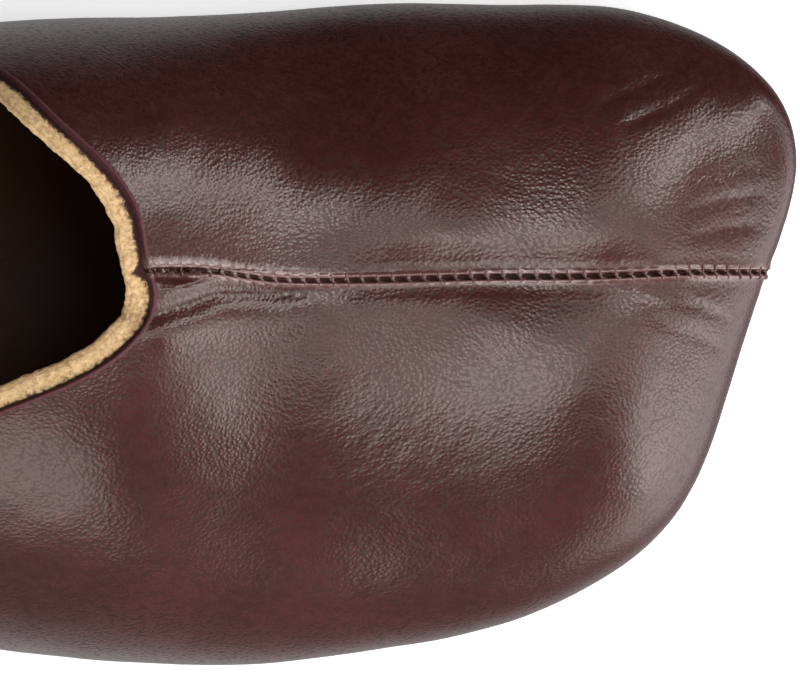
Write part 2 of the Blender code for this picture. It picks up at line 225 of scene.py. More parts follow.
# Soft ridges (height over 0) and troughs, each along a short curve: its points, then half width and height at
# the curve's two ends
folds = {
    "lift beside the throat": (((32.5, -6.2), (37.0, -3.8), (40.0, -2.6), (42.9, -1.75), (45.2, -1.45),
                                (48.2, -1.75), (53, -2.0), (62, -2.0)), (1.25, 0.55), (0.62, 0.14)),
    "trough under the lift": (((31.0, -7.9), (37.0, -5.3), (41.0, -4.3), (43.8, -3.1), (46.7, -2.65),
                               (51.2, -2.7), (62, -2.6)), (2.5, 1.0), (-1.35, -0.22)),
    "grainy swell": (((33.0, -9.4), (38.0, -8.1), (43.7, -6.9), (51.2, -6.2), (62, -5.4)),
                     (2.7, 2.3), (0.6, 0.2)),
    "inner toe crease": (((96, 22.5), (104, 26), (112, 30.5)), (0.9, 0.8), (-0.24, -0.10)),
    "second inner toe crease": (((99, 19.5), (107, 23), (115, 28)), (0.9, 0.8), (-0.22, -0.10)),
    "fan crease": (((109, 4.5), (115, 6.0), (121, 6.5)), (0.8, 0.9), (-0.10, -0.24)),
    "second fan crease": (((108, 8.0), (115, 10.0), (122, 11.0)), (0.8, 0.9), (-0.10, -0.26)),
    "third fan crease": (((109, 12.5), (116, 14.2), (122, 14.8)), (0.8, 0.9), (-0.08, -0.20)),
    "outer toe crease": (((101, -2.6), (109, -4.4), (118, -7.4)), (0.8, 0.9), (-0.14, -0.24)),
    "second outer toe crease": (((103, -6.2), (110, -8.6), (117, -12.0)), (0.9, 0.9), (-0.08, -0.16)),
}


def curvePoints(points, count, start=0, end=-1):  # evenly along a spline, from one of its points to another
    along = lengthsAlong(points)
    where = np.linspace(along[start], along[end], count)
    return np.stack([spline(along, column)(where) for column in points.T], -1)


def foldHeight(x, y, points, widths, heights):  # from the nearest point of the fold's curve
    curve = curvePoints(np.array(points, float), 60)
    reach = 3 * max(widths)
    low, high = curve.min(0) - reach, curve.max(0) + reach
    near = (x > low[0]) & (x < high[0]) & (y > low[1]) & (y < high[1])
    result = np.zeros(x.shape)
    if not near.any():
        return result
    spots = np.stack([x[near], y[near]], -1)
    best, where = np.full(len(spots), 1e9), np.zeros(len(spots))
    for i in range(len(curve) - 1):
        a, b = curve[i], curve[i + 1]
        t = np.clip(((spots - a) @ (b - a)) / ((b - a) @ (b - a)), 0, 1)
        gap = np.linalg.norm(spots - a - t[:, None] * (b - a), axis=1)
        closer = gap < best
        best, where = np.where(closer, gap, best), np.where(closer, (i + t) / (len(curve) - 1), where)
    width = widths[0] + (widths[1] - widths[0]) * where
    height = heights[0] + (heights[1] - heights[0]) * where
    result[near] = height * bell(best, width) * ease(0, 0.2, where) * ease(0, 0.3, 1 - where)
    return result


def leatherHeight(x, y):
    total = topHeight(x, y) + swellHeight(x, y)
    for points, widths, heights in folds.values():
        total = total + foldHeight(x, y, points, widths, heights)
    return total


def topNormal(x, y):
    step = 0.05
    rise = np.stack([(leatherHeight(x + step, y) - leatherHeight(x - step, y)) / (2 * step),
                     (leatherHeight(x, y + step) - leatherHeight(x, y - step)) / (2 * step)], -1)
    return unit(np.concatenate([-rise, np.ones(rise.shape[:-1] + (1,))], -1))


def bothSides(one, two):  # the inner side's rows front to back, then the outer side's back to front
    return np.concatenate([one, two[::-1][1:-1]])


def spineRays(side, turns):  # the plan rays that fan out from the spine: starts and directions
    turns = np.asarray(turns, float)
    quarter, run = shape["fan"] * math.pi / 2, shape["spineFront"] - shape["spineBack"]
    x = np.clip(shape["spineFront"] - (turns - quarter), shape["spineBack"], shape["spineFront"])
    angle = (turns - np.clip(turns - quarter, 0, run)) / shape["fan"]
    start = np.stack([x, last["centre"](x)], -1)
    return start, np.stack([np.cos(angle), side * np.sin(angle)], -1)


fullTurn = shape["fan"] * math.pi + shape["spineFront"] - shape["spineBack"]  # from the toe to the back


def outlineReach(side, turns):  # how far each plan ray runs to the outline, by halving
    start, ahead = spineRays(side, turns)
    near, far = np.zeros(len(turns)), np.full(len(turns), shape["toeX"] - shape["heelX"])
    for _ in range(40):
        middle = (near + far) / 2
        at = start + ahead * middle[:, None]
        within = gauge(at[:, 0], at[:, 1]) < 1
        near, far = np.where(within, middle, near), np.where(within, far, middle)
    return near


# The top line of the opening from the throat to the back, on each side
collarRows = (
    # inner x, y   outer x, y
    (35.6, 1.2, 36.5, -4.2),  # throat
    (34.4, 7.6, 34.3, -9.0),
    (30.6, 13.8, 28.5, -13.8),
    (23.0, 21.0, 14.5, -19.8),
    (14.0, 28.0, -4.0, -27.8),
    (4.0, 28.2, -17.0, -32.0),
    (-8.0, 26.2, -32.0, -34.4),
    (-32.0, 24.2, -48.0, -35.2),
    (-62.0, 24.0, -68.0, -34.9),
    (-90.0, 22.5, -90.0, -32.5),
    (-110.0, 14.6, -110.0, -23.8),
)
collarBack = (-118.5, -4.0)


def collarLoop(count=1600):  # closed plan curve: inner side front to back, then outer side back to front
    rows = np.array(collarRows)
    ring = np.concatenate([rows[:, :2], [collarBack], rows[::-1, 2:]])
    wrap = 3  # points that each end repeats, so the spline closes smoothly
    ring = np.concatenate([ring[-wrap:], ring, ring[: wrap + 1]])
    return curvePoints(ring, count + 1, wrap, -wrap - 1)[:-1]


class Collar:  # one side's top line as a curve from the middle seam to the back seam
    def __init__(self, side, loop):
        self.side = side
        atFront = np.where(loop[:, 0] > 0, np.abs(loop[:, 1]), np.inf)
        start = int(np.argmin(atFront))  # where the loop crosses the middle seam
        ring = np.roll(loop, -start, axis=0) if side == inner else np.roll(loop[::-1], start + 1, axis=0)
        back = int(np.argmin(ring[:, 0]))
        points = ring[: back + 1]
        points[0, 1] = 0.0
        flat = lengthsAlong(points)
        self.length, self.flat, self.points = flat[-1], flat, points
        pivot = np.clip(points[:, 0], shape["spineBack"], shape["spineFront"])
        ahead, aside = points[:, 0] - pivot, side * (points[:, 1] - last["centre"](pivot))
        turn = shape["fan"] * np.arctan2(np.maximum(aside, 0), ahead) + shape["spineFront"] - pivot
        self.turns = np.maximum.accumulate(turn)

    def at(self, length):  # plan points at lengths from the middle seam
        return pointsAt(length, self.flat, self.points)

    def ofTurn(self, turn):  # the length at which a plan ray crosses it
        return np.interp(turn, self.turns, self.flat)

    def frames(self, length):  # rim points, the way into the opening and the way into the leather's thickness
        plan, step = self.at(length), 0.4
        ahead = self.at(np.minimum(length + step, self.length)) - self.at(np.maximum(length - step, 0))
        normal = topNormal(plan[:, 0], plan[:, 1])
        rise = -(normal[:, :1] * ahead[:, :1] + normal[:, 1:2] * ahead[:, 1:2]) / normal[:, 2:]
        tangent = unit(np.concatenate([ahead, rise], -1))
        into = unit(np.cross(normal, tangent)) * self.side
        rim = np.concatenate([plan, leatherHeight(plan[:, 0], plan[:, 1])[:, None]], -1)
        return rim, into, -normal


loop = collarLoop()
collars = {side: Collar(side, loop) for side in (inner, outer)}
throatX = collars[inner].points[0, 0]

# The middle seam wanders a little over the vamp: x, y
seamRun = ((30, 0), (36.5, 0), (44.6, -0.14), (48.6, -0.72), (52.7, -1.19), (56.8, -1.31), (61, -1.29),
           (69, -1.15), (77, -0.89), (85.6, -0.73), (94, -0.69), (102, -0.43), (110.6, -0.1), (119, -0.06),
           (128, -0.06))
seamShift = spline([p[0] for p in seamRun], [p[1] for p in seamRun])


def besideSeam(x, y):  # moves a plan point with the seam; the shift dies out away from it
    return y + seamShift(x) * ease(30, 38, x) * (1 - ease(1, 14, np.abs(y)))


panelSizes = {
    "rimSteps": (0.0, 0.12, 0.25, 0.4, 0.6, 0.85, 1.15),  # rows close to the cut edge
    "topRows": 200, "underRows": 22, "marginRows": 2, "margin": 4.0,
    # distance from the middle seam and how far apart the wall lines are there; then the same from the back
    "lineStep": ((0, 0.12), (1.4, 0.14), (2.6, 0.2), (8, 0.62), (140, 0.7), (220, 3.4), (400, 3.4)),
    "backStep": ((0, 0.15), (2, 0.2), (12, 3.4)),
    "straight": 8.0,  # to here a line's parameter is its own distance from the middle seam
    "together": 2.4,  # and lines this near run beside it
    "joined": 60,  # from here lines follow the fan of plan rays
    "fine": (3.0, 3),  # rows of lines this near the seam are cut into this many
    # the cut edge: into the opening, into the thickness
    "cut": ((0.10, 0.02), (0.20, 0.10), (0.26, 0.25), (0.28, 0.5), (0.25, 0.85), (0.18, 1.25)),
    "uneven": ((12, 3, 0.03), (5, 5, 0.012)),  # size, seed, height
    # where the grain is wrinkled: x, y, half length, half width, strength
    "wrinkled": ((106, 28, 8, 5, 0.9), (116, 10, 5, 5, 0.8), (112, -5, 8, 3, 0.8), (68, -24, 12, 8, 0.55),
                 (46, 13, 8, 5, 0.35)),
}
seamSizes = {
    "pitch": 2.3, "firstStitch": 1.0, "alongSlope": 1.25, "threadRadius": 0.13,
    # a line's own distance from the seam, and the distance at which it is drawn, closer on the lips
    "beside": ((0, 0), (0.12, 0.20), (0.3, 0.29), (0.5, 0.36), (0.75, 0.55), (1.1, 0.96), (1.5, 1.43),
               (2, 1.97), (3, 3)),
    # the slot between the panels, and the bars that the stitches pull across it
    "depth": 0.85, "deepens": (70, 110), "shallow": 0.25, "wall": (0.30, 0.62),
    "narrow": 0.5, "opens": (56, 76), "bar": 0.40, "barEdge": (0.7, 1.3), "flare": 0.35, "slant": 0.26,
    "filled": 0.95,
    "lipPlace": 0.80, "lipWidth": 0.27, "lipHeight": 0.20, "scallop": 0.5,
    # the inner lip near the throat, the hollow outside the lips, the pocket at the throat, and the back seam
    "bigLip": {"until": (50, 66), "higher": 0.10, "wider": 0.5, "further": -0.08},
    "hollow": {"depth": 0.05, "place": 1.9, "halfWidth": 0.9, "starts": (50, 70)},
    "pocket": {"depth": 1.5, inner: 0.35, outer: 1.35, "until": (39, 45)},
    "back": {"depth": 0.45, "halfWidth": 0.22, "lip": 0.12, "lipPlace": 0.75, "lipHalf": 0.4},
}


def lineParameters(total):  # where the wall lines stand, from the middle seam to the back seam
    fromSeam, fromBack = np.array(panelSizes["lineStep"]), np.array(panelSizes["backStep"])
    values = [0.0]
    while values[-1] < total:
        step = np.interp(values[-1], *fromSeam.T)
        values.append(values[-1] + min(step, np.interp(total - values[-1], *fromBack.T)))
    values[-1] = total
    return np.array(values)


def panelLines(side):  # plan start and end of each wall line, and its distance from the seam
    turns = np.linspace(0, fullTurn, 700)
    start, ahead = spineRays(side, turns)
    ends = start + ahead * outlineReach(side, turns)[:, None]
    along = lengthsAlong(ends)
    aside = np.maximum.accumulate(side * ends[:, 1])
    near = panelSizes["straight"]
    first = aside <= near + 1
    nearAlong = float(np.interp(near, aside[first], along[first]))
    lines = lineParameters(along[-1] - nearAlong + near)
    endAlong = np.where(lines < near, np.interp(lines, aside[first], along[first]), nearAlong + lines - near)
    endTurns = np.interp(endAlong, along, turns)
    collar = collars[side]
    front = slice(0, 200)  # the collar's points near the seam
    collarAside = np.maximum.accumulate(side * collar.points[front, 1])
    fanned = collar.ofTurn(endTurns)
    together = panelSizes["together"]
    extra = np.interp(np.minimum(lines, together), collarAside, collar.flat[front])
    extra = extra - np.where(lines < together, fanned, np.interp(together, lines, fanned))
    startAlong = fanned + extra * (1 - ease(together, panelSizes["joined"], lines))
    startAlong[-1] = collar.length
    endStart, endAhead = spineRays(side, endTurns)
    end = endStart + endAhead * outlineReach(side, endTurns)[:, None]
    return lines, startAlong, collar.at(startAlong), end


def panelGrid(side, lines, startAlong, start, end, split):  # split cuts each row step into this many
    sizes = panelSizes
    beside = np.array(seamSizes["beside"])
    shift = np.where(lines < beside[-1, 0], spline(*beside.T)(lines), lines) - lines
    dense = np.sin(np.linspace(0, math.pi / 2, 400))
    plan = start[:, None] + (end - start)[:, None] * dense[None, :, None]
    plan[..., 1] += side * shift[:, None]
    x, y = plan[..., 0], besideSeam(plan[..., 0], plan[..., 1])
    dense = np.stack([x, y, leatherHeight(x, y)], -1)
    length = lengthsAlong(dense)
    rimSteps = np.array(sizes["rimSteps"])
    steps = len(rimSteps) - 1 + sizes["topRows"]
    where = np.arange(steps * split + 1) / split
    top = []
    for i in range(len(lines)):
        rest = np.linspace(rimSteps[-1], length[i, -1], sizes["topRows"] + 1)[1:]
        at = np.interp(where, np.arange(steps + 1), np.concatenate([rimSteps, rest]))
        top.append(pointsAt(at, length[i], dense[i]))
    top = np.array(top)
    # under the widest line: a quarter ellipse in to the feather edge, then the turned-in margin
    rim, ahead = top[:, -1], unit(end - start)
    inset = ofSide("inset", rim[:, 0], np.full(len(rim), side == inner))
    high, low = rim[:, 2], feather(rim[:, 0])
    under = []
    for k in range(1, sizes["underRows"] * split + 1):
        angle = math.pi / 2 * k / (sizes["underRows"] * split)
        at = rim[:, :2] - ahead * (inset * (1 - math.cos(angle)))[:, None]
        level = feather(at[:, 0]) + (high - low) * (1 - math.sin(angle))
        under.append(np.concatenate([at, level[:, None]], -1))
    for k in range(1, sizes["marginRows"] * split + 1):
        at = rim[:, :2] - ahead * (inset + sizes["margin"] * k / (sizes["marginRows"] * split))[:, None]
        under.append(np.concatenate([at, feather(at[:, 0])[:, None]], -1))
    return np.concatenate([top, np.stack(under, 1)], 1)


def gridNormals(grid, side):
    return unit(np.cross(np.gradient(grid, axis=1), np.gradient(grid, axis=0)) * side)


class Tree:  # the nodes of a material or of the room's world
    def __init__(self, owner, constants):
        owner.use_nodes = True
        self.owner, self.nodes, self.links = owner, owner.node_tree.nodes, owner.node_tree.links
        kinds = ("ShaderNodeBsdfPrincipled", "ShaderNodeBackground")
        self.shader = next(node for node in self.nodes if node.bl_idname in kinds)
        for key, value in constants.items():
            self.shader.inputs[key].default_value = value

    def node(self, kind, settings=None, sockets=None, out=0):  # its settings are set before its sockets
        made = self.nodes.new("ShaderNode" + kind)
        for key, value in (settings or {}).items():
            setattr(made, key, value)
        for key, value in (sockets or {}).items():
            if isinstance(value, Socket):
                self.links.new(value.link, made.inputs[key])
            else:
                made.inputs[key].default_value = value
        return Socket(self, made.outputs[out])

    def place(self, scale=(1, 1, 1)):  # where on the object, in metres, stretched
        return self.stretched(self.node("TexCoord", out=3), scale)

    def stretched(self, place, scale):
        return self.node("VectorMath", {"operation": "MULTIPLY"}, {0: place, 1: scale})

    def mark(self, name):  # a value that the mesh carries
        return self.node("Attribute", {"attribute_name": name}, out=2)

    def noise(self, place, size, detail=3.0, rough=0.55):
        return self.node("TexNoise", {}, {"Vector": place, "Scale": 1 / size, "Detail": detail,
                                          "Roughness": rough})

    def cells(self, place, size, feature="F1"):
        return self.node("TexVoronoi", {"feature": feature}, {"Vector": place, "Scale": 1 / size})

    def mix(self, share, first, second):  # colours
        first, second = (colour if isinstance(colour, Socket) else (*colour, 1) for colour in (first, second))
        return self.node("Mix", {"data_type": "RGBA"}, {0: share, 6: first, 7: second}, 2)

    def band(self, value, low, high):  # 0 below low, 1 above high, soft between
        return self.node("MapRange", {"interpolation_type": "SMOOTHSTEP"},
                         {0: value, 1: low, 2: high, 3: 0.0, 4: 1.0})

    def bump(self, height):  # height in millimetres
        return self.node("Bump", {}, {"Height": height, "Strength": 1.0, "Distance": 0.001})

    def wear(self, sockets):  # links what varies to the shader
        for key, value in sockets.items():
            self.links.new(value.link, self.shader.inputs[key])
        return self.owner


class Socket:  # arithmetic on a node's output adds the nodes for it
    def __init__(self, tree, link):
        self.tree, self.link = tree, link

    def maths(self, operation, first, second):
        return self.tree.node("Math", {"operation": operation}, {0: first, 1: second})

    def __add__(self, other):
        return self.maths("ADD", self, other)

    __radd__ = __add__

    def __mul__(self, other):
        return self.maths("MULTIPLY", self, other)

    __rmul__ = __mul__

    def __sub__(self, other):
        return self.maths("SUBTRACT", self, other)

    def __rsub__(self, other):
        return self.maths("SUBTRACT", other, self)


def finishNamed(name, constants=None):
    return Tree(bpy.data.materials.new(name), constants or {})


nappaLook = {
    "deep": (0.036, 0.0088, 0.0078), "mid": (0.054, 0.0135, 0.0125), "light": (0.070, 0.020, 0.020),
    "cut": (0.065, 0.009, 0.015), "cutDark": (0.024, 0.003, 0.005), "fuzz": (0.092, 0.015, 0.026),
    # crease: darker colour in the grain's creases, painted shade
    # groove: darker colour in the slot between the panels and on the back seam, painted shade
    # lip: paler colour on the seam's lip crests and stitch bars, a painted highlight
    "lip": (0.15, 0.065, 0.062), "groove": (0.026, 0.003, 0.003), "crease": (0.018, 0.004, 0.004),
    "rough": 0.22, "pebble": 0.00050, "pebblesApart": (0.78, 1, 1), "wrinkle": 0.0011, "wrinkleHeight": 0.17,
    "wrinkleTurn": -0.5, "wrinkleRun": (0.42, 1, 1), "wanderScale": 900.0, "wander": 0.0004,
}


def burgundyNappa():
    look = nappaLook
    leather = finishNamed("burgundy_nappa", {"Specular Tint": (1, 0.92, 0.88, 1), "Coat Roughness": 0.22})
    place = leather.place()
    cloud = leather.noise(place, 0.022, 3)
    speck = leather.noise(place, 0.0016, 4, 0.6)
    wander = leather.node("TexNoise", {}, {"Vector": place, "Scale": look["wanderScale"], "Detail": 2.0}, 1)
    shifted = leather.node("VectorMath", {"operation": "MULTIPLY_ADD"},
                           {0: wander, 1: (look["wander"],) * 3, 2: place})
    apart = leather.stretched(shifted, look["pebblesApart"])
    pebbles = 1 - leather.band(leather.cells(apart, look["pebble"]), 0.05, 0.85)
    creases = 1 - leather.band(pebbles, 0.02, 0.30)
    plain = leather.band(leather.noise(place, 0.014, 2), 0.35, 0.65)
    turned = leather.node("VectorRotate", {"rotation_type": "Z_AXIS"},
                          {"Vector": place, "Angle": look["wrinkleTurn"]})
    warp = leather.noise(leather.stretched(turned, look["wrinkleRun"]), look["wrinkle"], 3)
    fibre = leather.noise(place, 0.0005, 4, 0.7)
    rim = leather.mark("rim")  # distance from the cut edge; under 0 on the cut itself
    groove, lip, wrinkle = leather.mark("groove"), leather.mark("lip"), leather.mark("wrinkle")
    fuzz = (1 - leather.band(rim + (fibre - 0.5) * 0.7, 0.05, 0.35)) * leather.band(rim, -0.25, 0.05)
    onCut = 1 - leather.band(rim, -0.12, 0.02)
    colour = leather.mix(leather.band(cloud, 0.3, 0.7), look["deep"], look["mid"])
    colour = leather.mix(leather.band(speck, 0.35, 0.75) * 0.5, colour, look["light"])
    # the grain's creases are painted darker: painted shade
    colour = leather.mix(creases * 0.55, colour, look["crease"])
    cutColour = leather.mix(leather.band(fibre, 0.3, 0.7), look["cutDark"], look["cut"])
    colour = leather.mix(onCut, colour, cutColour)
    colour = leather.mix(fuzz, colour, look["fuzz"])
    # the lips and the stitch bars are painted paler: a painted highlight on their crests
    colour = leather.mix(lip * 0.75, colour, look["lip"])
    # the slot between the stitch bars and the back seam are painted darker: painted shade in the recess
    colour = leather.mix(groove, colour, look["groove"])
    rough = look["rough"] + (cloud - 0.5) * 0.05 + creases * 0.12 + onCut * 0.65 + fuzz * 0.5 + groove * 0.6
    grain = pebbles * (1 - lip * 0.7) * (0.020 + plain * 0.010) + speck * 0.010
    height = grain + warp * wrinkle * look["wrinkleHeight"] + fibre * onCut * 0.3 + fibre * fuzz * 0.2
    return leather.wear({"Base Color": colour, "Roughness": rough, "Coat Weight": lip * 0.8,
                         "Normal": leather.bump(height)})


def weld(mesh):  # joins corners that meet, where rings close up to a line
    work = bmesh.new()
    work.from_mesh(mesh)
    bmesh.ops.remove_doubles(work, verts=work.verts, dist=2e-6)
    bmesh.ops.dissolve_degenerate(work, edges=work.edges, dist=1e-7)
    work.to_mesh(mesh)
    work.free()


def gridFaces(rows, columns, first, closed, flip):  # closed joins the last row to the first
    index = np.arange(rows * columns).reshape(rows, columns) + first
    if closed:
        index = np.concatenate([index, index[:1]], 0)
    faces = np.stack([index[:-1, :-1], index[:-1, 1:], index[1:, 1:], index[1:, :-1]], -1).reshape(-1, 4)
    return faces[:, ::-1] if flip else faces


def addGrids(name, grids, finish, closed=False, flip=False):  # one mesh from grids of points with their marks
    points, faces, first = [], [], 0
    for grid, _ in grids:
        rows, columns = grid.shape[:2]
        points.append(toFrame(grid.reshape(-1, 3)))
        faces.append(gridFaces(rows, columns, first, closed, flip))
        first += rows * columns
    mesh = bpy.data.meshes.new(name)
    mesh.from_pydata(np.concatenate(points).tolist(), [], np.concatenate(faces).tolist())
    for mark in grids[0][1]:
        values = [np.broadcast_to(marks[mark], grid.shape[:2]).ravel() for grid, marks in grids]
        data = mesh.attributes.new(mark, "FLOAT", "POINT").data
        data.foreach_set("value", np.concatenate(values).astype(np.float32))
    weld(mesh)
    return addObject(name, mesh, finish)


def addGrid(name, points, finish, marks=None, closed=False, flip=False):
    return addGrids(name, [(points, marks or {})], finish, closed, flip)


def addObject(name, mesh, finish):
    mesh.shade_smooth()
    mesh.materials.append(finish)
    made = bpy.data.objects.new(name, mesh)
    bpy.context.scene.collection.objects.link(made)
    return made


def addPiece(made, slot, *nodes):
    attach(made, "root")
    if nodes:
        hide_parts(*nodes)


def finishPanel(side, base, lines, startAlong, total, split):  # raises the base into the sewn leather
    seam = seamSizes
    back, big, hollow, pocket = (seam[key] for key in ("back", "bigLip", "hollow", "pocket"))
    normal = gridNormals(base, side)
    x, y = base[..., 0], base[..., 1]
    if lines[0] == 0:  # both sides share the seam's own line
        shared = base[0, :, 2] > feather(x[0]) + 14
        normal[0, shared] = topNormal(x[0, shared], y[0, shared])
    sinceRim = lengthsAlong(base)
    along = sinceRim + (base[:, :1, 0] - throatX) * seam["alongSlope"]
    aside, fromBack = lines[:, None], (total - lines)[:, None]
    # the stitches pull bars across the slot
    opened = seam["narrow"] + (1 - seam["narrow"]) * ease(*seam["opens"], x)
    wall = ease(*seam["wall"], aside / opened)
    slanted = along - seam["firstStitch"] + side * seam["slant"] * np.minimum(aside, 1)
    fromStitch = (slanted + seam["pitch"] / 2) % seam["pitch"] - seam["pitch"] / 2
    barHalf = seam["bar"] + seam["flare"] * np.minimum(aside / 0.6, 1) ** 2
    bar = 1 - ease(*seam["barEdge"], np.abs(fromStitch) / barHalf)
    bigLip = (1 - ease(*big["until"], x)) * (side == inner)
    fromLip = aside - seam["lipPlace"] - big["further"] * bigLip
    onLip = bell(fromLip, seam["lipWidth"] + big["wider"] * bigLip)
    lipHeight = seam["lipHeight"] * (1 - seam["scallop"] * bell(fromStitch, 0.5))
    height = onLip * (lipHeight + big["higher"] * bigLip)
    outside = hollow["depth"] * bell(aside - hollow["place"], hollow["halfWidth"])
    height -= outside * (1 - bigLip) * ease(*hollow["starts"], x)
    inPocket = pocket["depth"] * bell(aside, pocket[side]) * (1 - ease(*pocket["until"], x))
    height -= inPocket * ease(0, 1, sinceRim)
    depth = seam["depth"] * (1 - seam["shallow"] + seam["shallow"] * ease(*seam["deepens"], x))
    height -= depth * (1 - wall) * (1 - seam["filled"] * bar)
    onBack = bell(fromBack, back["halfWidth"])
    height -= back["depth"] * onBack - back["lip"] * bell(fromBack - back["lipPlace"], back["lipHalf"])
    aboveFeather = base[..., 2] - feather(x)
    uneven = sum(rise * waves(x, y, size, seed) for size, seed, rise in panelSizes["uneven"])
    height += uneven * ease(0, 1, sinceRim) * ease(0, 4, aboveFeather)
    grid = base + normal * height[..., None]
    # the cut edge, from the thickness up to the rim
    rim, into, inward = collars[side].frames(startAlong)
    cuts = [*panelSizes["cut"][::-1], (0, 0)]
    where = np.arange((len(cuts) - 1) * split) / split
    ahead, down = (np.interp(where, range(len(cuts)), column) for column in zip(*cuts))
    cut = [grid[:, 0] + into * a + inward * d for a, d in zip(ahead, down)]

    def withCut(mark, onCut=None):  # the cut edge carries the rim's own value, or the one given
        onCut = mark[:, :1] if onCut is None else onCut
        return np.concatenate([np.broadcast_to(onCut, (len(lines), len(down))), mark], 1)

    # the slot between the stitch bars, painted darker as painted shade; the back seam joins it below
    groove = withCut((1 - wall) * (1 - seam["filled"] * bar))
    wrinkled = sum(strength * bell(x - atX, length) * bell(y - atY, width)
                   for atX, atY, length, width, strength in panelSizes["wrinkled"])
    marks = {
        "rim": withCut(sinceRim, -down),
        "groove": np.maximum(groove, 0.7 * onBack),
        # lip covers the lips and the stitch bars; besides the coat and the smoother grain it carries a
        # painted highlight colour
        "lip": withCut(np.minimum(bell(fromLip, 0.38) + bell(fromLip, 0.8) * bigLip + (1 - wall) * bar, 1)),
        "wrinkle": withCut(wrinkled, 0),
    }
    return np.concatenate([np.stack(cut, 1), grid], 1), marks, normal, along


def buildPanel(name, side, finish):
    lines, startAlong, start, end = panelLines(side)
    fineTo, split = panelSizes["fine"]
    nearCount = int(np.searchsorted(lines, fineTo)) + 1
    near, far = slice(0, nearCount), slice(nearCount - 1, None)
    parts = []
    for part, cutTo in ((near, split), (far, 1)):
        base = panelGrid(side, lines[part], startAlong[part], start[part], end[part], cutTo)
        parts.append((base, *finishPanel(side, base, lines[part], startAlong[part], lines[-1], cutTo)))
    parts[1][1][0] = parts[0][1][-1, ::split]  # the two parts share this line
    made = addGrids(name, [part[1:3] for part in parts], finish, flip=side == outer)
    addPiece(made, "upper_leather", "upper")
    seamBase, _, _, seamNormal, seamAlong = parts[0]
    return {"base": parts[1][0], "normal": parts[1][3], "startAlong": startAlong[far],
            "seam": (seamBase[0], seamNormal[0], seamAlong[0])}


stitch = {
    # across the seam, height over the leather, slant along the seam
    "path": ((0.92, -0.22, -0.24), (0.80, 0.04, -0.21), (0.60, 0.15, -0.16), (0.30, 0.02, -0.08),
             (0.0, -0.06, 0.0), (-0.30, 0.02, 0.08), (-0.60, 0.15, 0.16), (-0.80, 0.04, 0.21),
             (-0.92, -0.22, 0.24)),
    "sides": 8, "steps": 17, "wobble": 0.05,
    # towards the throat the stitches are narrower and lie lower, on the inner and on the outer side
    "throat": (40, 62), "narrower": (0.45, 0.15), "lower": (0.30, 0.25),
    "dark": (0.075, 0.024, 0.024), "light": (0.17, 0.075, 0.075),
}


def plainThread():
    thread = finishNamed("seam_thread", {"Roughness": 0.55})
    fibre = thread.noise(thread.place(), 0.00035, 4, 0.6)
    colour = thread.mix(fibre, stitch["dark"], stitch["light"])
    return thread.wear({"Base Color": colour, "Normal": thread.bump(fibre * 0.06)})


def tube(points, radius, sides, guide):  # rings round a path that doesn't run the guide's way
    along = unit(np.gradient(points, axis=0))
    first = unit(np.cross(along, guide))
    second = np.cross(along, first)
    angles = np.linspace(0, math.tau, sides, endpoint=False)[:, None, None]
    return points + (np.cos(angles) * first + np.sin(angles) * second) * radius


def buildStitches(panel, finish):
    base, normal, along = panel["seam"]
    end = along[np.argmax(base[:, 2] < feather(base[:, 0]) + 1.0)]
    path = np.array(stitch["path"])
    share, fine = np.linspace(0, 1, len(path)), np.linspace(0, 1, stitch["steps"])
    local = np.stack([spline(share, column)(fine) for column in path.T], -1)
    onInner = local[:, 0] > 0
    threads = []
    for n, place in enumerate(np.arange(seamSizes["firstStitch"], end, seamSizes["pitch"])):
        at, later = pointsAt(place, along, base), pointsAt(place + 0.5, along, base)
        up = unit(pointsAt(place, along, normal))
        forward = unit(later - at)
        across = unit(np.cross(up, forward))
        near = float(1 - ease(*stitch["throat"], at[0]))
        innerHalf, outerHalf = (1 - narrower * near for narrower in stitch["narrower"])
        aside = local[:, :1] * np.where(onInner, innerHalf, outerHalf)[:, None]
        innerLower, outerLower = stitch["lower"]
        lower = np.where(onInner, innerLower * near * aside[:, 0], outerLower * near)
        height = local[:, 1:2] - lower[:, None]
        ahead = local[:, 2:] + stitch["wobble"] * math.sin(n * 2.4)
        threads.append(tube(at + aside * across + height * up + ahead * forward, seamSizes["threadRadius"],
                            stitch["sides"], forward))
    made = addGrids("seam_stitches", [(thread, {}) for thread in threads], finish, closed=True, flip=True)
    addPiece(made, "upper_leather")


collarEdge = {
    # towards the opening, and into the thickness: the wine-dark leather, the fibrous edge, then the lining
    "section": ((-0.15, 1.02), (0.05, 1.10), (0.40, 1.14), (0.85, 1.20), (1.25, 1.34), (1.58, 1.60),
                (1.78, 1.95), (1.80, 2.30), (1.62, 2.62), (1.28, 2.86), (0.80, 2.98), (0.10, 3.02),
                (-0.8, 2.98), (-1.6, 2.80)),
    "step": 0.30, "wider": 1.65, "together": 2.0,
    "lumps": ((3.0, 5.0, 11, 0.10), (7.0, 14.0, 12, 0.10)), "rough": (1.1, 21, 0.06),  # size, seed, height
    "pad": (7, 4, 0.16),  # on the outer side: distance from the seam, half length, height
    # the dark border's half length and reach at the seam, and how much thinner it is on the outer side; the
    # border is partly painted shade
    "notch": (0.8, 0.8), "thinner": 0.28,
    "dark": (0.40, 0.23, 0.10), "light": (0.92, 0.64, 0.34), "clump": (0.84, 0.56, 0.28),
    "border": (0.045, 0.008, 0.010), "crease": (0.25, 0.13, 0.05),
}


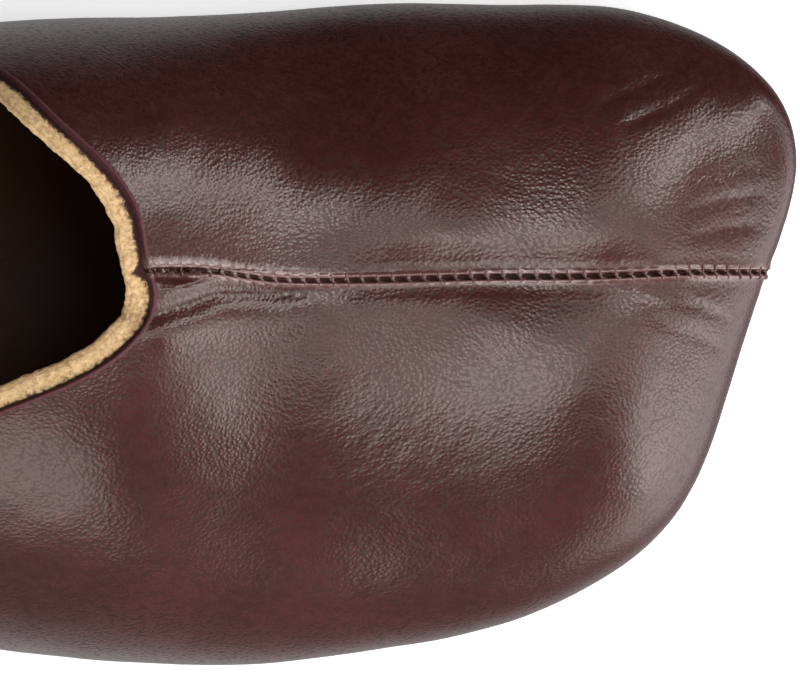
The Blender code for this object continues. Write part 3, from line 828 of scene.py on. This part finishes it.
def tanEdge():
    look = collarEdge
    edge = finishNamed("tan_cut_edge", {"Roughness": 0.85})
    place = edge.place()
    across = edge.mark("across")
    fibre = edge.noise(place, 0.0007, 5, 0.7)
    clump = edge.noise(place, 0.004, 3)
    colour = edge.mix(edge.band(fibre, 0.3, 0.72), look["dark"], look["light"])
    colour = edge.mix(edge.band(clump, 0.35, 0.7) * 0.5, colour, look["clump"])
    # the wine-dark border over the tan: the outer leather's cut and dye on the tan, and painted shade in the
    # gap between the two leathers
    stainAndShade = 1 - edge.band(across + (fibre - 0.5) * 1.2 + (clump - 0.5) * 0.6, 0.45, 0.90)
    colour = edge.mix(stainAndShade, colour, look["border"])
    folded = across + (clump - 0.5) * 0.8
    crease = edge.band(folded, 1.9, 2.0) * (1 - edge.band(folded, 2.05, 2.2))
    colour = edge.mix(crease * 0.35, colour, look["crease"])
    return edge.wear({"Base Color": colour, "Normal": edge.bump(fibre * 0.35)})


def buildCollarEdge(finish):
    sizes, rings, marks = collarEdge, [], []
    section = np.array(sizes["section"])
    place = lengthsAlong(section)
    # both halves turn to the same directions where they meet at the seam
    ends = [collars[side].frames(np.array([sizes["together"]])) for side in (inner, outer)]
    sharedInto, sharedInward = (unit(ends[0][k][0] + ends[1][k][0]) for k in (1, 2))
    for side in (inner, outer):
        collar = collars[side]
        along = np.linspace(0, collar.length, int(collar.length / sizes["step"]))
        sinceSeam = ease(0, 3, along)
        rim, into, inward = collar.frames(along)
        near = bell(along, sizes["together"])[:, None]
        into = unit(into + (sharedInto - into) * near)
        inward = unit(inward + (sharedInward - inward) * near)
        lumps = sum(waves(along, side * row, size, seed) * rise for row, size, seed, rise in sizes["lumps"])
        padAt, padLength, padHeight = sizes["pad"]
        pad = padHeight * bell(along - padAt, padLength) if side == outer else 0
        stand = sizes["wider"] + lumps * sinceSeam + pad
        ring = rim[:, None] + into[:, None] * section[:, 0][None, :, None] * stand[:, None, None]
        ring = ring + inward[:, None] * section[:, 1][None, :, None]
        size, seed, rise = sizes["rough"]
        rough = waves(along[:, None], place[None, :] * 2, size, seed + side) * rise
        fade = ease(0.5, 1.2, place) * (1 - ease(4.2, 5.2, place))
        ring = ring + gridNormals(ring, side) * (rough * fade)[..., None]
        notchLength, notchReach = sizes["notch"]
        thinner = sizes["thinner"] * sinceSeam if side == outer else 0
        border = notchReach * bell(along, notchLength) - thinner
        rings.append(ring)
        marks.append(np.broadcast_to(place, rough.shape) - border[:, None])
    marks = {"across": bothSides(*marks)}
    addPiece(addGrid("collar_cut_edge", bothSides(*rings), finish, marks, closed=True), "sock_leather")


insideLooks = {  # light and dark colour, and the grain's size in metres
    "tan_lining": ((0.50, 0.31, 0.15), (0.40, 0.23, 0.10), 0.0009),
    # the sock's dark brown stands in for the shade deep inside the shoe: painted shade
    "dark_sock_painted_shade": ((0.050, 0.021, 0.008), (0.032, 0.013, 0.005), 0.0008),
    "insole_board": ((0.42, 0.27, 0.14), (0.33, 0.20, 0.10), 0.0012),
}


def insideLeather(name):
    light, dark, size = insideLooks[name]
    inside = finishNamed(name, {"Specular IOR Level": 0.2})
    place = inside.place()
    cloud = inside.noise(place, 0.03, 3)
    grain = inside.band(inside.cells(place, size, "DISTANCE_TO_EDGE"), 0.0, 0.3)
    colour = inside.mix(inside.band(cloud, 0.25, 0.75), dark, light)
    rough = 0.62 + (cloud - 0.5) * 0.2
    return inside.wear({"Base Color": colour, "Roughness": rough, "Normal": inside.bump(grain * 0.02)})


lining = {
    "everyLine": 3, "firstRows": (6, 9), "fromRow": 13, "everyRow": 5, "edgeDepth": 2.9, "edgeReach": 0.4,
}


def buildLining(panels, finish):  # the panels' inner face, in coarser steps
    sizes, sheets = lining, []
    for side in (inner, outer):
        panel = panels[side]
        count, across = panel["base"].shape[:2]
        chosen = np.unique([*range(0, count - 1, sizes["everyLine"]), count - 1])
        coarse = range(sizes["fromRow"], across - 1, sizes["everyRow"])
        rows = np.unique([*sizes["firstRows"], *coarse, across - 1])
        base, normal = panel["base"][chosen], panel["normal"][chosen]
        rim, into, inward = collars[side].frames(panel["startAlong"][chosen])
        sheet = (base - normal * shape["wall"])[:, rows]
        first = rim + inward * sizes["edgeDepth"] + into * sizes["edgeReach"]
        sheets.append(np.concatenate([first[:, None], sheet], 1))
    made = addGrid("lining", bothSides(*sheets), finish, closed=True, flip=True)
    addPiece(made, "sock_leather", "upper")


def rays(count):  # plan rays all the way round
    turns = np.linspace(0, fullTurn, count)
    found = []
    for side in (inner, outer):
        start, ahead = spineRays(side, turns)
        reach = outlineReach(side, turns)
        rimX = start[:, 0] + ahead[:, 0] * reach
        inset, bulge = (ofSide(name, rimX, np.full(count, side == inner)) for name in ("inset", "bulge"))
        found.append([start, ahead, reach, inset, bulge])
    return [bothSides(*pair) for pair in zip(*found)]


outsole = {
    "rays": 260, "outset": 1.5, "edgeRound": 0.7, "channelPlace": 3.4, "channelDepth": 0.18,
    "spread": (8, 14, 22, 32, 45, 60, 80, 100), "tread": ((10, 40), (95, 122)),  # worn between these
    "dark": (0.36, 0.19, 0.085), "light": (0.47, 0.27, 0.13), "fibre": (0.25, 0.12, 0.05),
    "scuff": (0.14, 0.09, 0.06), "edgeDark": (0.020, 0.006, 0.005), "edgeLight": (0.045, 0.014, 0.012),
}


def sheetRings(distances, levels, start, ahead, edge):  # rings inside an edge, at levels over the floor side
    rings = []
    for distance, level in zip(distances, levels):
        at = start + ahead * np.maximum(edge - distance, 0)[:, None]
        rings.append(np.concatenate([at, aboveFloorSide(at[:, 0], level)[:, None]], -1))
    return np.stack(rings, 1)


def soleLeather():
    look, leather = outsole, finishNamed("sole_leather")
    cloud = leather.noise(leather.place(), 0.02, 3)
    fibre = leather.noise(leather.place((1, 3, 3)), 0.0012, 4, 0.6)
    edge, tread = leather.mark("edge"), leather.mark("tread")
    colour = leather.mix(leather.band(cloud, 0.25, 0.75), look["dark"], look["light"])
    colour = leather.mix(fibre * 0.4, colour, look["fibre"])
    scuff = leather.band(leather.noise(leather.place((1, 5, 5)), 0.004, 5, 0.7), 0.5, 0.7)
    colour = leather.mix(scuff * tread * 0.6, colour, look["scuff"])
    stained = leather.mix(fibre, look["edgeDark"], look["edgeLight"])
    colour = leather.mix(leather.band(edge, 0.45, 0.75), colour, stained)
    rough = 0.40 + scuff * tread * 0.35 + fibre * 0.12
    height = fibre * 0.04 + scuff * tread * 0.05
    return leather.wear({"Base Color": colour, "Roughness": rough, "Normal": leather.bump(height)})


def buildOutsole(finish):
    sizes, thick, rounding = outsole, shape["sole"], outsole["edgeRound"]
    start, ahead, reach, inset, _ = rays(sizes["rays"])
    turns = np.linspace(0, math.pi / 2, 6)
    corner = [(rounding * (1 - math.cos(a)), rounding * (1 - math.sin(a))) for a in turns]
    groove = ((-0.5, 0), (-0.2, 1), (0.2, 1), (0.5, 0))
    # distance inside the edge and height over the floor side, from the top round the edge to the tread
    profile = [(d, thick) for d in (200, 30, 8, 2.0)]
    profile += [(d, thick - h) for d, h in corner[::-1]]
    profile += [(0.0, thick * 0.6), (0.0, thick * 0.35)]
    profile += corner + [(1.6, 0.0)]
    profile += [(sizes["channelPlace"] + d, h * sizes["channelDepth"]) for d, h in groove]
    profile += [(d, 0.0) for d in sizes["spread"]] + [(200, 0.0)]
    distances, levels = (np.array(column) for column in zip(*profile))
    rings = sheetRings(distances, levels, start, ahead, edge=reach - inset + sizes["outset"])
    (wornFrom, wornTo), x = sizes["tread"], rings[..., 0]
    tread = ease(*wornFrom, x) * (1 - ease(*wornTo, x)) * (levels < 0.3)
    marks = {"edge": (distances < 0.6) * 1.0, "tread": tread}
    addPiece(addGrid("outsole_leather", rings, finish, marks, closed=True), "sole_leather", "outsole")


sock = {
    "rays": 220, "level": 8.9, "overlap": 0.25, "rim": (0.9, 0.45),  # the raised rim's height and width
    "distances": (0.0, 0.4, 1.0, 2.0, *range(4, 124, 3)),
}


def buildSock(finish):
    sizes = sock
    start, ahead, reach, inset, bulge = rays(sizes["rays"])
    share = np.clip(1 - (sizes["level"] - shape["sole"] - shape["gap"]) / bulge, 0, 1)
    edge = reach - inset * (1 - np.sqrt(1 - share * share)) - shape["wall"] + sizes["overlap"]
    height, width = sizes["rim"]
    levels = sizes["level"] + height * bell(sizes["distances"], width)
    rings = sheetRings(sizes["distances"], levels, start, ahead, edge)
    addPiece(addGrid("sock", rings, finish, closed=True), "sock_leather")


heel = {
    "rays": 400, "setback": 0.5, "curve": 0.8, "breastSeat": -70.0, "breastTip": -79.0,
    "tip": 6.0, "tipBack": -115.0, "tipWidth": 38.0, "tipMiddle": -4.0, "roundPart": 0.55,
    "stations": 44, "levels": 26, "corner": 1.4, "tipCorner": 0.5,
    "dark": (0.024, 0.0055, 0.005), "light": (0.048, 0.014, 0.014), "speck": (0.075, 0.026, 0.028),
    "rubberDark": (0.012, 0.011, 0.010), "rubberLight": (0.028, 0.025, 0.023),
}


def heelRing(level, spans):  # D-shaped ring at a level, 0 at the seat and 1 at the top piece
    seatBack, outerY, innerY = spans
    pull = level ** heel["curve"]
    back = seatBack + (heel["tipBack"] - seatBack) * pull
    front = heel["breastSeat"] + (heel["breastTip"] - heel["breastSeat"]) * pull
    share = (np.arange(heel["stations"] + 1) / heel["stations"]) ** 2
    seatX = seatBack + (heel["breastSeat"] - seatBack) * share
    low, high = outerY(seatX), innerY(seatX)
    middle, half = (low + high) / 2, (high - low) / 2
    bend = 1 - np.minimum(share / heel["roundPart"], 1)
    half = half + (heel["tipWidth"] / 2 * np.sqrt(1 - bend * bend) - half) * pull
    middle = middle + (heel["tipMiddle"] - middle) * pull
    return back + (front - back) * share, middle - half, middle + half


def seatSpans():  # the seat's back, and its outer and inner side at each x
    start, ahead, reach, inset, _ = rays(heel["rays"])
    ring = start + ahead * (reach - inset + outsole["outset"] - heel["setback"])[:, None]
    ring = np.roll(ring, -int(ring[:, 0].argmin()), axis=0)
    toeAt = int(ring[:, 0].argmax())
    one, two = ring[: toeAt + 1], np.concatenate([ring[toeAt:], ring[:1]])[::-1]
    outerSide, innerSide = sorted((one, two), key=lambda half: half[:, 1].mean())
    return ring[0, 0], lambda x: np.interp(x, *outerSide.T), lambda x: np.interp(x, *innerSide.T)


def heelLeather():
    leather = finishNamed("heel_cover_leather", {"Coat Weight": 0.12, "Coat Roughness": 0.28})
    place = leather.place()
    cloud = leather.noise(place, 0.02, 3)
    pores = leather.band(leather.cells(place, 0.0006, "DISTANCE_TO_EDGE"), 0.02, 0.3)
    speck = leather.noise(place, 0.0016, 4, 0.6)
    colour = leather.mix(leather.band(cloud, 0.3, 0.7), heel["dark"], heel["light"])
    colour = leather.mix(leather.band(speck, 0.35, 0.75) * 0.5, colour, heel["speck"])
    rough = 0.38 + (cloud - 0.5) * 0.12 + (1 - pores) * 0.08
    height = pores * 0.025 + speck * 0.02
    return leather.wear({"Base Color": colour, "Roughness": rough, "Normal": leather.bump(height)})


def tipRubber():
    rubber = finishNamed("top_piece_rubber")
    fine = rubber.noise(rubber.place(), 0.0012, 4, 0.6)
    colour = rubber.mix(fine, heel["rubberDark"], heel["rubberLight"])
    rough = 0.55 + fine * 0.15
    return rubber.wear({"Base Color": colour, "Roughness": rough, "Normal": rubber.bump(fine * 0.05)})


def ringPoints(x, low, high, z):  # outer side back to front, then the inner side front to back
    outerSide, innerSide = np.stack([x, low, z], -1), np.stack([x, high, z], -1)
    return np.concatenate([outerSide, innerSide[::-1][:-1]])


def addBlock(name, layers, finish, corner):  # a closed body through D-shaped layers, its corners rounded
    faces, count = [], layers.shape[1]
    for n in range(len(layers) - 1):
        for k in range(count):
            a, b = n * count + k, n * count + (k + 1) % count
            faces.append((a, a + count, b + count, b))
    for n in (0, len(layers) - 1):
        for k in range((count + 2) // 2 - 1):
            a, b = n * count + k, n * count + k + 1
            c, d = n * count + (count - k - 1) % count, n * count + (count - k) % count
            quad = (a, b, c, d) if k else (a, b, c)
            faces.append(quad[::-1] if n else quad)
    mesh = bpy.data.meshes.new(name)
    mesh.from_pydata(toFrame(layers.reshape(-1, 3)).tolist(), [], faces)
    made = addObject(name, mesh, finish)
    bevel = made.modifiers.new("rounding", "BEVEL")
    bevel.width, bevel.segments, bevel.limit_method = corner * 0.001, 4, "ANGLE"
    bevel.angle_limit = math.radians(40)
    return made


def buildHeel(finish, rubber):
    spans = seatSpans()
    foot = heel["tip"] + shape["gap"]
    layers = []
    for level in np.arange(heel["levels"] + 1) / heel["levels"]:
        x, low, high = heelRing(level, spans)
        top = aboveFloorSide(x, -shape["gap"])
        layers.append(ringPoints(x, low, high, top + (foot - top) * level))
    addPiece(addBlock("heel_cover", np.array(layers), finish, heel["corner"]), "heel_leather", "heel")
    x, low, high = heelRing(1.0, spans)
    layers = [ringPoints(x, low, high, np.full(x.shape, z)) for z in (heel["tip"], 0.0)]
    topPiece = addBlock("heel_top_piece", np.array(layers), rubber, heel["tipCorner"])
    addPiece(topPiece, "tip_rubber", "heel_tip")


nappa = burgundyNappa()
panels = {side: buildPanel(name, side, nappa)
          for side, name in ((inner, "upper_inner_side"), (outer, "upper_outer_side"))}
print("upper panels made")
buildStitches(panels[inner], plainThread())
buildCollarEdge(tanEdge())
print("seam and collar edge made")
buildLining(panels, insideLeather("tan_lining"))
buildSock(insideLeather("dark_sock_painted_shade"))
board = insideLeather("insole_board")
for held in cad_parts["insole"].material_slots:
    held.material = board
print("lining, sock and insole made")
buildOutsole(soleLeather())
buildHeel(heelLeather(), tipRubber())
print("sole and heel made")

# metres: the camera's height over a level of the shoe, how wide it sees there, and the plan point it looks at
camera = {"height": 1.6, "level": 0.02, "viewWidth": 0.1111, "overX": 0.0697, "overY": -0.0007}


def addCamera():
    data = bpy.data.cameras.new("camera")
    data.sensor_width = 36
    data.lens = data.sensor_width * camera["height"] / camera["viewWidth"]
    made = bpy.data.objects.new("camera", data)
    made.location = (camera["overX"], camera["overY"], camera["height"] + camera["level"])
    bpy.context.scene.collection.objects.link(made)
    bpy.context.scene.camera = made


lamps = (
    # name, then degrees from overhead and round from the toe for its two ends, metres away, width, brightness
    ("overhead strip light", (4, 12), (22, 12), 1.2, 0.30, 9.8),
    ("dim strip light", (22, 12), (42, 12), 1.2, 0.30, 1.3),
    ("inner strip light", (42, 12), (58, 12), 1.2, 0.26, 3.7),
    ("inner softbox", (58, 12), (70, 18), 1.2, 0.26, 8.6),
    ("toe corner light", (74, 20), (92, 28), 1.2, 0.28, 5.7),
    ("outer overhead light", (22, -40), (42, -42), 1.2, 0.50, 4.5),
    ("outer strip light", (24, -24), (42, -14), 1.2, 0.30, 3.0),
    ("middle strip light", (42, -14), (62, -12), 1.2, 0.26, 2.2),
    ("front strip light", (62, -11), (84, -14), 1.2, 0.30, 2.9),
    ("front softbox", (78, -24), (96, -26), 1.2, 0.40, 4.5),
    ("side reflector", (45, -110), (80, -110), 1.4, 1.90, 3.1),
)
studio = {
    "middle": Vector((0.06, 0, 0.02)),
    "floorSize": 8.0, "floorGlow": 0.5, "floorDark": (0.87, 0.87, 0.87), "floorLight": (0.90, 0.90, 0.90),
    # the room's brightness on the outer side, low in front of the toe and below, and where each sets in
    "pale": 0.19, "paleWay": (-0.25, 0.55), "under": 0.37, "underWay": (0.5, 0.95),
    "frontLow": 2.6, "frontWay": (0.70, 1.0), "frontDown": (-0.1, 0.15),
}


def wayTo(tilt, turn):  # a direction from degrees from overhead and degrees round from the toe
    tilt, turn = math.radians(tilt), math.radians(turn)
    return Vector((math.sin(tilt) * math.cos(turn), math.sin(tilt) * math.sin(turn), math.cos(tilt)))


def addLamps():
    for name, first, second, far, width, bright in lamps:
        ends = [wayTo(*end) * far for end in (first, second)]
        data = bpy.data.lights.new(name, "AREA")
        data.shape, data.size, data.size_y = "RECTANGLE", width, (ends[1] - ends[0]).length
        data.energy = bright * math.pi * data.size * data.size_y
        made = bpy.data.objects.new(name, data)
        middle = (ends[0] + ends[1]) / 2
        lengthwise = (ends[1] - ends[0]).normalized()
        back = (middle - lengthwise * middle.dot(lengthwise)).normalized()  # away from the shoe
        turned = Matrix((lengthwise.cross(back), lengthwise, back)).transposed().to_4x4()
        made.matrix_world = Matrix.Translation(studio["middle"] + middle) @ turned
        made.visible_camera = False
        bpy.context.scene.collection.objects.link(made)


def addFloor():
    paper = finishNamed("pale_floor", {"Roughness": 0.9, "Emission Color": (1, 1, 1, 1),
                                       "Emission Strength": studio["floorGlow"]})
    grain = paper.noise(paper.place(), 0.02, 3)
    paper.wear({"Base Color": paper.mix(grain, studio["floorDark"], studio["floorLight"])})
    size = studio["floorSize"]
    corners = [(x * size, y * size, 0) for x, y in ((-1, -1), (1, -1), (1, 1), (-1, 1))]
    mesh = bpy.data.meshes.new("floor")
    mesh.from_pydata(corners, [], [(0, 1, 2, 3)])
    made = addObject("floor", mesh, paper.owner)
    made.visible_glossy = made.visible_shadow = False  # the leather mirrors the dark room instead


def addRoom():  # dark on the inner side, pale on the outer side, bright low in front of the toe
    world = bpy.data.worlds.new("room")
    bpy.context.scene.world = world
    room = Tree(world, {"Color": (1, 1, 1, 1)})
    way = room.node("SeparateXYZ", {}, {0: room.node("TexCoord")})
    x, y, z = (Socket(room, socket) for socket in way.link.node.outputs)
    pale = room.band(0.0 - y, *studio["paleWay"])
    front = room.band(x - y * 0.35, *studio["frontWay"]) * room.band(0.0 - z, *studio["frontDown"])
    under = room.band(0.0 - z, *studio["underWay"])
    room.wear({"Strength": pale * studio["pale"] + front * studio["frontLow"] + under * studio["under"]})


addCamera()
addLamps()
addFloor()
addRoom()
bpy.context.scene.view_settings.view_transform = "Standard"
print("camera, floor and lights set")
